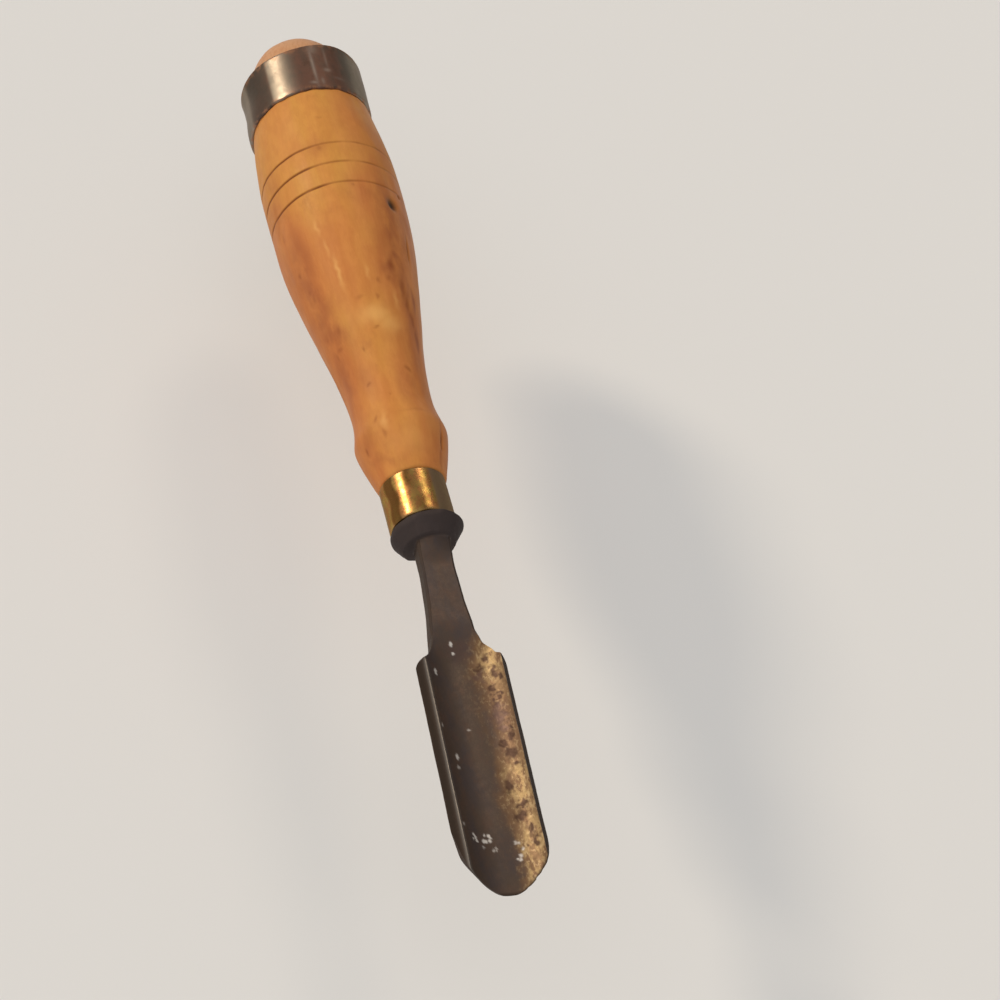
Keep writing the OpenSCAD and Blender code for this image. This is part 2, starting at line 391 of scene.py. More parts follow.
# Pale scuffs; those at -30 to -39 degrees, along the lit stripe, are streaks of painted highlight
SCUFFS_AND_HIGHLIGHTS = (
    (73.8, -31, 4.6, 0.6, 0.85), (52.3, -39, 1.8, 0.5, 0.4), (59.8, -38, 2.2, 0.5, 0.6),
    (87.6, -8, 2.6, 3.8, 0.8), (90.2, 8, 2.6, 2.8, 0.6), (75.5, -5, 1.8, 0.5, 0.5),
    (83.6, 21, 2.2, 0.6, 0.5), (118, -30, 2.4, 0.7, 0.6), (60, 170, 4, 1.2, 0.5),
    (84, 95, 3, 0.8, 0.5), (100, -150, 3, 0.9, 0.5), (124.5, -5, 3.5, 5, 0.25),
    (119, 30, 4, 4, 0.2), (66.5, -34.5, 2.4, 0.45, 0.5),
)


def bare_radius(x):
    """Radius of the wood between the hoop and the ferrule."""
    back = between(BELLY_R, BACK_R, ((BELLY_AT - x) / (BELLY_AT - HOOP_LEN)) ** 2)
    along = unit((x - BELLY_AT) / (WAIST_AT - BELLY_AT))
    grip = between(BELLY_R, WAIST_R, ease(along ** FULLNESS))
    climb = unit((x - WAIST_AT) / (BEAD_AT - WAIST_AT)) ** BEAD_HOLLOW
    bead = between(WAIST_R, BEAD_R, climb)
    fall = unit((x - BEAD_AT) / (FERRULE_AT - BEAD_AT)) ** BEAD_ROUND
    front = between(BEAD_R, FERRULE_R, fall)
    return np.select([x < BELLY_AT, x < WAIST_AT, x < BEAD_AT], [back, grip, bead], front)


def worn_radius(x):
    """The same radius, fuller past the belly, with the bead rubbed round and both ends eased."""
    low = np.maximum(x - RUB_REACH, HOOP_LEN)
    high = np.minimum(x + RUB_REACH, FERRULE_AT)
    rubbed = (bare_radius(low) + 2 * bare_radius(x) + bare_radius(high)) / 4
    ends = hump(x - HOOP_LEN, END_EASE_HALF) + hump(FERRULE_AT - x, END_EASE_HALF)
    return rubbed + SWELL * hump(x - SWELL_AT, SWELL_HALF) - END_EASE * ends


def line_marks(x, angle, body):
    """Turned lines from 0 to 1: clear on the left, worn faint over the top, the right and below."""
    far = [np.abs(x - at) / LINE_HALF * LINE_NARROW for at in LINES]
    lines = sum(np.exp(-share ** LINE_STEEP) for share in far)
    clear = between(LINE_FAINT, 1.0, stripe(signed(angle), *LINE_CLEAR))
    return lines * unit(clear * (0.97 + 0.22 * ripple(body, 3.5, 6)))


def edge_stray(angle):
    """How far the hoop's front rim and the wood's back edge stray along the handle."""
    ragged = np.sin(11 * angle + 1) + np.sin(17 * angle) + 0.7 * np.sin(29 * angle + 2)
    return EDGE_BACK + EDGE_SLANT * np.sin(angle) + EDGE_RAGGED * ragged


def bare_stations():
    """Distances of the bare wood's rings, close together at the cut lines and at both ends."""
    fine = [at + step for at in LINES for step in np.linspace(-1, 1, 17)]
    ends = [HOOP_LEN + 0.1, HOOP_LEN + 0.2, FERRULE_AT - 0.2, FERRULE_AT - 0.1, FERRULE_AT]
    return np.unique(np.concatenate([np.arange(HOOP_LEN, FERRULE_AT, RING_STEP), fine, ends]))


def butt_rings():
    """Rings of the domed butt and of the wood inside the hoop: distances and radii."""
    dome_r = (DOME_RIM ** 2 + DOME_H ** 2) / (2 * DOME_H)
    centre = dome_r - DOME_H
    turn = np.linspace(0.02, 1, DOME_RINGS) * math.atan2(DOME_RIM, centre)
    x = np.concatenate([centre - dome_r * np.cos(turn), [0.0, 0.0, HOOP_LEN]])
    seat = HOOP_R - HOOP_WALL - FIT
    r = np.concatenate([dome_r * np.sin(turn), [DOME_RIM + DOME_STEP, seat, seat]])
    return x, r


def square_rings(depth, half, angle):
    """Rings of a square bar that runs back into the handle in line with the forging."""
    r = half[:, None] / np.maximum(np.abs(np.sin(angle)), np.abs(np.cos(angle)))
    return leaned(turned(-depth[:, None], r, angle[None, :]), 1.0)


def socket_rings(angle):
    """Square socket for the tang, from its mouth down to its flat end."""
    depth = np.array([0.0, 20.0, 45.0, TANG_LEN + SOCKET_SPARE])
    half = between(TANG_ROOT, TANG_END, depth / TANG_LEN) + FIT
    return square_rings(depth, half, angle)


def leaned(points, share):
    """Forging millimetres to handle millimetres; share is 0 for rings square to the handle."""
    s, y, z = np.moveaxis(points, -1, 0)
    x = SEAT_AT + LEAN_AT + (s - LEAN_AT) * math.cos(LEAN) + share * y * math.sin(LEAN)
    aside = y * math.cos(LEAN) - (s - LEAN_AT) * math.sin(LEAN)
    return np.stack([x, aside, z], -1)


def redness_and_shade_mark(x, angle, body):
    """Redder wood in the middle of the handle's length, and redder and darker away from a lit stripe
    on the upper left, which is painted shade.
    """
    side = np.abs(signed(angle + math.radians(24)))
    middle = 0.5 * rise(x, 38, 68) * (1 - 0.7 * rise(x, 106, 118))
    aside = between(0.25, 0.9, rise(x, 28, 56)) * rise(side, 0.25, 0.9)
    return unit(middle + aside + 0.15 * ripple(body, (16, 8, 8), 35))


def wood_marks(x, angle, r, body):
    """Named marks of the wood, most of them with outlines that stray a little."""
    at, turn = strayed(x, angle, r, body, SPOT_STRAY)
    stain_at, stain_turn = strayed(x, angle, r, body, STAIN_STRAY)
    gap = 0.8 * hump(x - HOOP_LEN, 0.3) * unit(0.7 + 0.5 * ripple(body, 1.5, 37))
    return {
        "dark": spots(x, angle, r, KNOTS, 1.5),
        "spot": np.maximum(spots(at, turn, 1.3 * r, SPOTS, 1.2), gap),
        "stain": spots(stain_at, stain_turn, r, STAINS, 1.0),
        "pale": spots(at, turn, r, SCUFFS_AND_HIGHLIGHTS, 1.2),
        "line": line_marks(x, angle, body),
        "redness_and_shade": redness_and_shade_mark(x, angle, body),
        "end": np.broadcast_to(x < 0, body.shape[:2]).astype(float),
    }


def build_handle():
    """The whole handle as one closed mesh, with its tenons and its socket."""
    angle = np.linspace(0, 2 * math.pi, ROUND, endpoint=False)[None, :]
    butt_x, butt_r = butt_rings()
    bare_x = bare_stations()
    tenon = FERRULE_R - FERRULE_WALL - FIT
    mouth = TANG_ROOT * MOUTH_SHARE
    x = np.concatenate([butt_x, bare_x, [FERRULE_AT, SEAT_AT, SEAT_AT]])[:, None]
    r = np.concatenate([butt_r, worn_radius(bare_x), [tenon, tenon, mouth]])[:, None]
    seen = ((x < 0) | ((x > HOOP_LEN) & (x < FERRULE_AT))).astype(float)
    body = turned(x, r, angle)
    marks = {key: mark * seen for key, mark in wood_marks(x, angle, r, body).items()}
    deep = KNOT_DEEP * marks["dark"] + SPOT_DEEP * marks["spot"] + LINE_DEEP * marks["line"]
    stray = edge_stray(angle) * (1 - rise(x, HOOP_LEN, HOOP_LEN + EDGE_REACH)) * (x >= HOOP_LEN)
    grid = turned(x + stray, r + seen * (uneven(body, WOOD_WAVES) - deep), angle)
    grid[..., 1] += seen * DRIFT * rise(x, *DRIFTING)
    socket = socket_rings(angle[0])
    inside = np.zeros(socket.shape[:2])
    marks = {key: np.concatenate([mark, inside]) for key, mark in marks.items()}
    return lofted("handle_turned", np.concatenate([grid, socket]), marks)


# Hoop and ferrule

# Marks on the hoop, given as those in the wood are
# Scratches and worn patches; the broad ones near -90 degrees lighten the left edge as worn metal and
# painted reflection
SCRATCHES_AND_SHEEN = (
    (7, -1.5, 6, 0.4, 1), (13, -4, 0.5, 1, 0.8), (8.4, 11, 0.6, 0.9, 0.7),
    (1.6, 0.5, 1.6, 1.3, 0.5), (4.5, 12, 3.5, 0.3, 0.45), (3, 55, 4, 0.4, 0.4),
    (9, -89, 5, 1.2, 0.4), (6, 150, 5, 0.3, 0.6), (9, -140, 4, 0.4, 0.5),
    (5, 100, 1, 1, 0.5), (9.5, -91, 6, 4.6, 1), (12.5, 4, 1.2, 0.4, 0.6),
    (11, 22, 0.5, 1.4, 0.4),
)
# Stripes along the hoop and the ferrule: degrees over which each of them starts and ends
# The rubbed band is bare metal, painted lighter where the key light's highlight falls
HOOP_RUBBED_HIGHLIGHT = ((-48, -44), (-38, -14))
HOOP_DULL = ((-82, -74), (18, 44))
# Bands of painted shade, dark beside the highlights
HOOP_SHADE_BAND = ((-83, -74), (-50, -45))
FERRULE_SHADE_BAND = ((-75, -67), (-51, -46))
FERRULE_DULL = (14, 22)
# Rims: shares of the length over which wear dies away
BUTT_RIM = 0.10
OTHER_RIM = 0.06
# Places where the hoop is hammered out: angle, half width in radians, distance
STRUCK_AT = math.radians(38)
STRUCK_HALF = 0.75
STRUCK_BACK = 1.0
BULGE_AT = math.radians(255)
BULGE_HALF = 0.6
BULGE_OUT = 0.3


def band_outline(length, outer, inner, roll):
    """Distances and radii round the wall of a tube with rolled rims."""
    turn = np.linspace(0, math.pi / 2, 6)
    flat = np.linspace(roll, length - roll, 40)[1:-1]
    core = outer - roll
    x = [roll - roll * np.cos(turn), flat, length - roll + roll * np.sin(turn)]
    r = [core + roll * np.sin(turn), 0 * flat + outer, core + roll * np.cos(turn)]
    x.append([length, length, 0.0, 0.0])
    r.append([core - LIP, inner, inner, core - LIP])
    return np.concatenate(x)[None, :], np.concatenate(r)[None, :]


def band(name, at, length, outer, inner, roll, shape, seed):
    """Tube with rolled rims, whose outside and ends are shaped by a function of place."""
    around = np.linspace(0, 2 * math.pi, ROUND, endpoint=False)[:, None]
    x, r = band_outline(length, outer, inner, roll)
    shift, swell, marks, scratches = shape(x / length, around)
    marks["scratch"] = spots(x, around, outer, scratches, 1.0)
    outside = (r > outer - roll - LIP / 2).astype(float)
    swell = swell + uneven(turned(at + x, r, around), ((0.02, 9, seed), (0.006, 2.2, seed + 1)))
    swell = swell - SCRATCH_DEEP * marks["scratch"]
    grid = turned(at + x + shift, r + outside * swell, around)
    return lofted(name, grid, {key: mark * outside for key, mark in marks.items()}, wrap=True)


def hoop_shape(share, angle):
    """Butt rim hammered out at one side, front rim slanting, dark skin with a rubbed bare band painted
    lighter as a highlight.
    """
    degrees = np.degrees(signed(angle))
    butt = hump(share, BUTT_RIM)
    front = hump(1 - share, OTHER_RIM)
    struck = hump(signed(angle - STRUCK_AT), STRUCK_HALF) * hump(share, 0.35)
    shift = -STRUCK_BACK * struck - 0.12 * np.sin(5 * angle) * butt
    shift = shift + edge_stray(angle) * rise(share, 0.55, 0.95)
    aside = between(0.33, 0.05, rise(share, 0.3, 0.9)) * np.sin(angle)
    bulge = BULGE_OUT * hump(angle - BULGE_AT, BULGE_HALF) * rise(share, 0.4, 0.8)
    swell = 0.10 * butt * (1 + np.sin(3 * angle + 0.5)) - 0.05 * front + aside + bulge
    marks = {
        "worn": np.maximum(butt, front),
        "dull": (1 - stripe(degrees, *HOOP_RUBBED_HIGHLIGHT)) * stripe(degrees, *HOOP_DULL),
        "painted_shade": stripe(degrees, *HOOP_SHADE_BAND),
    }
    return shift, swell, marks, SCRATCHES_AND_SHEEN


def ferrule_shape(share, angle):
    """Rims a little bruised, skin dull on the right, and painted shade in stripes that waver."""
    degrees = np.degrees(signed(angle))
    wavy = degrees + 3 * np.sin(9 * share)
    back = hump(share, OTHER_RIM)
    front = hump(1 - share, OTHER_RIM)
    bruise = 0.05 * np.sin(4 * angle + 0.6) + 0.04 * np.sin(9 * angle + 2.0)
    # Painted shade: a dark stripe beside the highlight, a patch between the highlights and one over
    # the lower part of the second highlight
    painted_shade = stripe(wavy, *FERRULE_SHADE_BAND)
    painted_shade = painted_shade + 0.9 * hump(wavy + 22, 7) * (1 - rise(share, 0.25, 0.5))
    painted_shade = painted_shade + 0.6 * hump(wavy + 4, 9) * rise(share, 0.55, 0.75)
    marks = {"worn": np.maximum(back, front), "dull": rise(degrees, *FERRULE_DULL), "painted_shade": painted_shade}
    return (back - front) * (0.05 + bruise), -0.04 * front, marks, ()


# Forging

TOP_POINTS = 97
LAND_POINTS = 7
SIDE_POINTS = 20
KEEL_BLEND = 0.4
NOSE_BLEND = 1.5
RIM_BLEND = 0.35
UNDER_BLEND = 0.3
FOOT_BLEND = 0.4
BACK_BLEND = 0.2
FLAT_BLEND = 0.25
LEAST_BLEND = 0.001
LEAST_R = 1.0
SEAT_CLEAR = 0.3
LAND_SHOWN = (37, 40)
# Nicks in the right edge: distance along the forging, half length, depth
NICKS = ((96.1, 0.35, 0.35), (97.9, 0.3, 0.25), (94.8, 0.25, 0.12))


def soft_min(a, b, blend):
    """The smaller of two surfaces, with the crease between them rounded."""
    share = unit(0.5 + 0.5 * (b - a) / blend)
    return between(b, a, share) - blend * share * (1 - share)


def bar_half(s):
    """Half width of the neck's bar, drawn in a little between bolster and blade."""
    slim = NECK_SLIM * stripe(s, *SLIMMED)
    return between(NECK_HALF, SHOULDER_HALF, (s - NECK_FROM) / (FILLET_AT - NECK_FROM)) - slim


def right_gain(s):
    """How much wider the right side is where its flare starts early."""
    return FLARE * stripe(s, *FLARED) + CORNER * hump(s - CORNER_AT, CORNER_HALF)


def plan_half(s):
    """Half width of the forging seen from above, up to the nose."""
    corner_y = BLADE_HALF - SHOULDER_R
    fillet_y = SHOULDER_HALF + FILLET_R
    blend = FILLET_AT + (SHOULDER_AT - FILLET_AT) * FILLET_R / (FILLET_R + SHOULDER_R)
    fillet = fillet_y - np.sqrt(np.maximum(FILLET_R ** 2 - (s - FILLET_AT) ** 2, 0))
    corner = corner_y + np.sqrt(np.maximum(SHOULDER_R ** 2 - (s - SHOULDER_AT) ** 2, 0))
    steps = [s < FILLET_AT, s < blend, s < SHOULDER_AT]
    return np.select(steps, [bar_half(s), fillet, corner], BLADE_HALF)


def cone_radius(s):
    """Radius of the cone to which the nose is ground."""
    return FLUTE_R - NOSE_DROP + EDGE + (TIP - s) * math.tan(BEVEL)


def nose_angle(s):
    """Angle about the sweep's axis at which the ground nose meets the flute."""
    cosine = (FLUTE_R ** 2 + NOSE_DROP ** 2 - cone_radius(s) ** 2) / (2 * FLUTE_R * NOSE_DROP)
    return math.acos(min(max(cosine, -1.0), 1.0))


def nose_half(s):
    """Half width that the ground nose leaves, at the lands or at the flute's edge."""
    under = max(cone_radius(s) ** 2 - (NOSE_DROP * math.sin(SWEEP_HALF)) ** 2, 0.0)
    reach = NOSE_DROP * math.cos(SWEEP_HALF) + math.sqrt(under)
    if reach > FLUTE_R:
        return reach * math.sin(SWEEP_HALF)
    return FLUTE_R * math.sin(min(nose_angle(s), SWEEP_HALF))


def flute_height(y):
    """Height of the flute's floor."""
    return SWEEP_Z - np.sqrt(np.maximum(FLUTE_R ** 2 - y ** 2, 0))


def top_height(s, y):
    """Flat top of the neck, rising to the bolster behind and easing into the flute in front."""
    climb = RAMP_H * (1 - unit((s - RAMP_FROM) / RAMP_LEN)) ** RAMP_CURVE
    ramp = climb * (1 - RAMP_CROWN * unit(np.abs(y) / NECK_HALF) ** 2)
    return between(NECK_TOP + ramp, flute_height(y), rise(s, RUN_FROM, RUN_TO))


def under_height(s, y):
    """Keel of the neck running out under the blade's back, then the ground nose."""
    half = bar_half(np.minimum(s, BAR_END))
    run = unit((s - FILLET_AT) / (BAR_END - FILLET_AT))
    chamfer = between(KEEL_ROUND, NECK_ROUND, rise(s, *KEEL_TO_SQUARE))
    keel = -between(NECK_UNDER, KEEL_END, run) + np.maximum(np.abs(y) - (half - chamfer), 0)
    back = SWEEP_Z - np.sqrt(np.maximum(SWEEP_R ** 2 - y ** 2, 0))
    blade = np.where(s < FILLET_AT, FAR_UP, back)
    low = soft_min(keel, blade, KEEL_BLEND)
    nose = SWEEP_Z - NOSE_DROP - np.sqrt(np.maximum(cone_radius(s) ** 2 - y ** 2, 0))
    return -soft_min(-low, -nose, NOSE_BLEND)


def land(s, half, angle, slope):
    """Points across and heights from the flute's edge, or the neck's flat, out to the side."""
    neck = 1 - rise(s, *NECK_TO_BLADE)
    inner = FLUTE_R * math.sin(min(angle, nose_angle(s)))
    wide = max(NECK_ROUND * neck, LEAST_LAND * (1 - rise(s, *LANDS_END)), half - inner)
    edge = half - wide
    start = float(top_height(s, np.array(edge)))
    drop = wide * between(slope, 1.0, neck)
    low = float(under_height(s, np.array(half)))
    t = np.linspace(0, 1, LAND_POINTS + 1)[1:]
    round_y = np.sin(t * math.pi / 2)
    round_z = 1 - np.cos(t * math.pi / 2)
    y = edge + wide * between(t, round_y, neck)
    z = start - drop * between(t, round_z, neck)
    return edge, y, np.maximum(z, low), low


def section(s):
    """One ring of neck and blade, rightwards over the top and back below; also its left inner edge."""
    plan = plan_half(np.array(s))
    late = float(rise(s, *SIDE_TO_NOSE)) + LEAST_BLEND
    nick = sum(deep * hump(s - at, half) for at, half, deep in NICKS)
    right = float(soft_min(plan + right_gain(s), nose_half(s), RIGHT_BLEND * late)) - nick
    left = float(soft_min(plan, nose_half(s), LEFT_BLEND * late))
    right_edge, right_y, right_z, right_low = land(s, right, RIGHT_LAND, RIGHT_SLOPE)
    left_edge, left_y, left_z, left_low = land(s, left, LEFT_LAND, LEFT_SLOPE)
    t = np.linspace(-1, 1, TOP_POINTS)
    across = np.sin(t * BEND) / math.sin(BEND)
    top_y = np.where(t < 0, left_edge, right_edge) * across
    under_y = -np.where(t < 0, right, left) * across
    down = np.linspace(0, 1, SIDE_POINTS + 2)[1:-1]
    right_side = between(right_z[-1], right_low, down)
    left_side = between(left_low, left_z[-1], down)
    y = [top_y, right_y, 0 * down + right, under_y, 0 * down - left, -left_y[::-1]]
    z = [top_height(s, top_y), right_z, right_side, under_height(s, under_y), left_side, left_z[::-1]]
    return np.concatenate(y), np.concatenate(z), left_edge


def bolster_radius(s, angle):
    """Forged collar that slopes to the neck, sits further back on the right and has uneven flats."""
    aside = np.sin(angle)
    back = SEAT_R + BACK_SLOPE * np.maximum(s - FIT, 0)
    slope = RIM_R - COLLAR_SLOPE * (s - COLLAR_AT + COLLAR_SLANT * aside)
    foot = FOOT_R - FOOT_SLOPE * (s - FOOT_AT + FOOT_SLANT * aside)
    under = (UNDER_R - UNDER_SLOPE * (s - COLLAR_AT)) / np.maximum(-np.cos(angle), 0.05)
    turn = (angle + math.pi / 8) % (math.pi / 4) - math.pi / 8
    flat = (FLAT_R + FLAT_OVAL * aside ** 2 + FLAT_UNEVEN * np.sin(3 * angle + 0.7)) / np.cos(turn)
    radius = soft_min(RIM_R, slope, RIM_BLEND)
    radius = soft_min(radius, under, UNDER_BLEND)
    radius = soft_min(radius, foot, FOOT_BLEND)
    radius = soft_min(back, radius, BACK_BLEND)
    return np.maximum(soft_min(radius, flat, FLAT_BLEND), LEAST_R)


def forging_stations():
    """Distances of the forging's rings, close together where its shape changes fast."""
    return np.concatenate([
        np.linspace(FIT, 11.5, 64), np.arange(11.9, 25, 0.5), np.arange(25, 44, 0.25),
        np.arange(44.2, 88, 0.25), np.linspace(88.2, 97, 60), np.linspace(97.1, TIP, 24),
    ])


def forging_ring(s):
    """One ring of the forging, how much of it is collar, and its left inner edge."""
    y, z, edge = section(s)
    if s >= COLLAR_END:
        return np.stack([0 * y + s, y, z], -1), 0 * y, edge
    angle = np.arctan2(y, z)
    far = np.hypot(y, z)
    bolster = bolster_radius(s, angle)
    wide = (far ** COLLAR_POWER + bolster ** COLLAR_POWER) ** (1 / COLLAR_POWER)
    return turned(s, wide, angle), rise(bolster - far, -0.7, 0.3), edge


def build_blade():
    """The whole forging as one closed mesh, from the tang's end to the tip."""
    stations = forging_stations()
    rings, collars, edges = zip(*[forging_ring(s) for s in stations])
    local = np.stack(rings)
    body = leaned(local, rise(stations, *SQUARE_TO_LEANED)[:, None])
    tang = tang_rings(np.arctan2(local[0, :, 1], local[0, :, 2]))
    marks = blade_marks(local, np.array(edges)[:, None])
    marks["scale"] = np.stack(collars)
    inside = np.zeros(tang.shape[:2])
    marks = {key: np.concatenate([inside, mark]) for key, mark in marks.items()}
    piece = lofted("gouge_forging", np.concatenate([tang, body]), marks)
    roughen(piece.data)
    return piece


def tang_rings(angle):
    """Square tang, from its blunted end to the bolster."""
    depth = np.array([TANG_LEN, TANG_LEN - 0.6, 45.0, 20.0, -FIT])
    half = between(TANG_ROOT, TANG_END, depth / TANG_LEN) * np.array([0.8, 1, 1, 1, 1])
    return square_rings(depth, half, angle)


# Marks in the flute: distance along the forging, angle about the sweep's axis, half sizes, strength
FLECKS = (
    (34.1, -5, 0.6, 0.4, 1), (36.1, -4, 0.4, 0.35, 0.8), (41.6, -31, 0.8, 0.35, 1),
    (56.5, -39, 0.5, 0.3, 0.4), (56.7, -5, 0.35, 0.35, 0.4), (64.2, -26, 0.7, 0.35, 1),
    (66.9, -28, 0.5, 0.3, 0.4), (82, -39, 0.5, 0.3, 0.4), (87.1, -18, 0.4, 0.35, 0.4),
    (88.5, 24, 0.4, 0.35, 0.55),
)
PITS = (
    (38.9, 30, 0.9, 0.7, 0.9), (42.8, 37, 1.3, 1, 1), (44.9, 41, 0.8, 0.6, 0.9),
    (47.1, 30, 1.3, 0.8, 1), (49.2, 37, 0.6, 1.1, 0.9), (50.7, 31, 0.7, 0.8, 0.9),
    (60.3, 39, 1.1, 0.6, 1), (62, 28, 1.1, 0.6, 0.7), (64.7, 36, 1.3, 1.5, 0.9),
    (67.6, 38, 0.6, 0.9, 0.7), (72.7, 24, 1.5, 1, 0.7), (77.8, 34, 0.8, 1.3, 1),
    (80.1, 30, 1.4, 1, 0.9), (84.3, 37, 1.5, 0.8, 0.9), (87.6, 41, 1, 0.6, 0.9),
    (88.2, 30, 0.9, 0.6, 0.7), (41, 22, 0.6, 1.2, 0.6), (58, 42, 1.2, 0.5, 0.8),
)
RUSTS = (
    (54.6, 30, 2, 2, 1), (57.4, 33, 1.8, 1.3, 0.9), (43, 18, 1.6, 1.5, 0.8),
    (36, 3, 2.6, 2.6, 0.5), (52, 31, 1.6, 1.6, 0.9),
)
# Groups of flecks: distance, angle, half sizes, number, strength
GROUPS = (
    (84.6, -27, 1.3, 0.7, 7, 1), (84.6, -12, 1.2, 1.2, 11, 1), (87.5, -5, 0.6, 0.5, 4, 0.4),
    (86.4, 19.5, 1.2, 0.4, 3, 0.5), (90.5, 19, 0.7, 0.6, 4, 0.6),
)

# Brass-coloured patina and painted highlight in the flute, on the right wall that faces the key light:
# distances along the forging and, at each of them, the angle where it starts, the angle over which it
# grows, and its amount
GOLD_START = (
    (31, 38, 44, 49, 60, 66, 74, 81, 89, 95),
    (18, -3, -8, -6, 3, 4, 1, 1, 6, 8),
)
GOLD_WIDTH = (
    (31, 44, 60, 66, 74, 81, 89, 95),
    (21, 46, 35, 32, 34, 34, 28, 23),
)
GOLD_AMOUNT = (
    (30, 35, 43, 47, 55, 64, 69, 75, 80, 88, 97),
    (0, 0.9, 0.9, 0.65, 0.5, 0.55, 0.95, 1, 0.8, 1, 1),
)
FLECK_HALF = 0.3
FLECK_SPREAD = 0.1
FLECK_LONG = 1.2


def fleck_list():
    """The single flecks and those of the groups, in one list."""
    rng = np.random.default_rng(41)
    flecks = list(FLECKS)
    for at, turn, half_len, half_wide, number, strength in GROUPS:
        for along, across, size in rng.uniform(-1, 1, (number, 3)):
            place = turn + math.degrees(across * half_wide / FLUTE_R)
            half = FLECK_HALF + FLECK_SPREAD * size
            flecks.append((at + along * half_len, place, FLECK_LONG * half, half, strength))
    return flecks


def gold_mark(s, turn, local):
    """Brass-coloured patina and painted highlight, which grow towards the right side of the flute, the
    side facing the key light.
    """
    start = np.interp(s, *GOLD_START)
    width = np.interp(s, *GOLD_WIDTH)
    grown = rise(np.degrees(turn) + uneven(local, GOLD_WAVES), start, start + width)
    return grown * np.interp(s, *GOLD_AMOUNT)


def land_shade(s, y, edges, cols):
    """Painted shade on the lands and the left side; on the blade the left land darkens outwards."""
    count = s.shape[1]
    right = (cols >= TOP_POINTS) & (cols < TOP_POINTS + LAND_POINTS)
    left = cols >= count - LAND_POINTS
    side = (cols >= count - LAND_POINTS - SIDE_POINTS) & ~left
    shown = rise(s, *LAND_SHOWN)
    outward = between(0.8, between(0.9, 1.3, rise(-y - edges, 0, 1.6)), shown)
    return right * between(0.8, 1.0, shown) + left * outward + 0.8 * side


def nose_shade(s, y, flute, gold):
    """Painted shade along the rim of the nose, and a greyer flute before it where there is no patina.
    """
    far = np.abs(y).max(1, keepdims=True) - np.abs(y)
    rim = 1.2 * rise(s, 90, 94) * np.maximum(hump(far, 0.6), hump(s - TIP, 0.8))
    return np.maximum(rim, 0.25 * flute * rise(s, 80, 90) * (1 - gold))


def blade_marks(local, edges):
    """Named marks of the forging, most of them with outlines that stray a little."""
    s = local[..., 0]
    y = local[..., 1]
    cols = np.arange(local.shape[1])[None, :]
    turn = np.arcsin(np.clip(y / FLUTE_R, -1, 1))
    flute = (cols < TOP_POINTS) & (s > FLUTE_FROM)
    left = cols >= local.shape[1] - LAND_POINTS
    gold = gold_mark(s, turn, local)
    pit_at, pit_turn = strayed(s, turn, FLUTE_R, local, PIT_STRAY)
    fleck_at, fleck_turn = strayed(s, turn, FLUTE_R, local, FLECK_STRAY)
    # Lighter inner edge of the left land: worn metal and a painted highlight
    arris = (flute | left) * (y < 0) * hump(y + edges, 0.4)
    return {
        "gold": flute * gold,
        "fleck": flute * unit(1.5 * spots(fleck_at, fleck_turn, FLUTE_R, fleck_list(), 1.8)),
        "pit": flute * unit(1.5 * spots(pit_at, pit_turn, 0.9 * FLUTE_R, PITS, 1.5)),
        "rust": flute * spots(pit_at, pit_turn, FLUTE_R, RUSTS, 1.5),
        "arris": arris * rise(s, *LAND_SHOWN),
        # Painted shade on the lands, the left side and the nose's rim
        "shade": np.maximum(land_shade(s, y, edges, cols), nose_shade(s, y, flute, gold)),
    }


def roughen(mesh):
    """Moves each point along its normal by the forging's unevenness, more so where it has scale."""
    count = len(mesh.vertices)
    place = np.zeros(count * 3, np.float32)
    normal = np.zeros(count * 3, np.float32)
    scale = np.zeros(count, np.float32)
    mesh.vertices.foreach_get("co", place)
    mesh.vertex_normals.foreach_get("vector", normal)
    mesh.attributes["scale"].data.foreach_get("value", scale)
    place = place.reshape(-1, 3)
    points = from_frame(place)
    shown = (points[:, 0] > SEAT_AT + SEAT_CLEAR).astype(float)
    rough = uneven(points, FORGED_WAVES) + scale * uneven(points, SCALE_WAVES)
    place += normal.reshape(-1, 3) * (shown * rough * MM)[:, None]
    mesh.vertices.foreach_set("co", place.reshape(-1))
    mesh.update()


# Materials

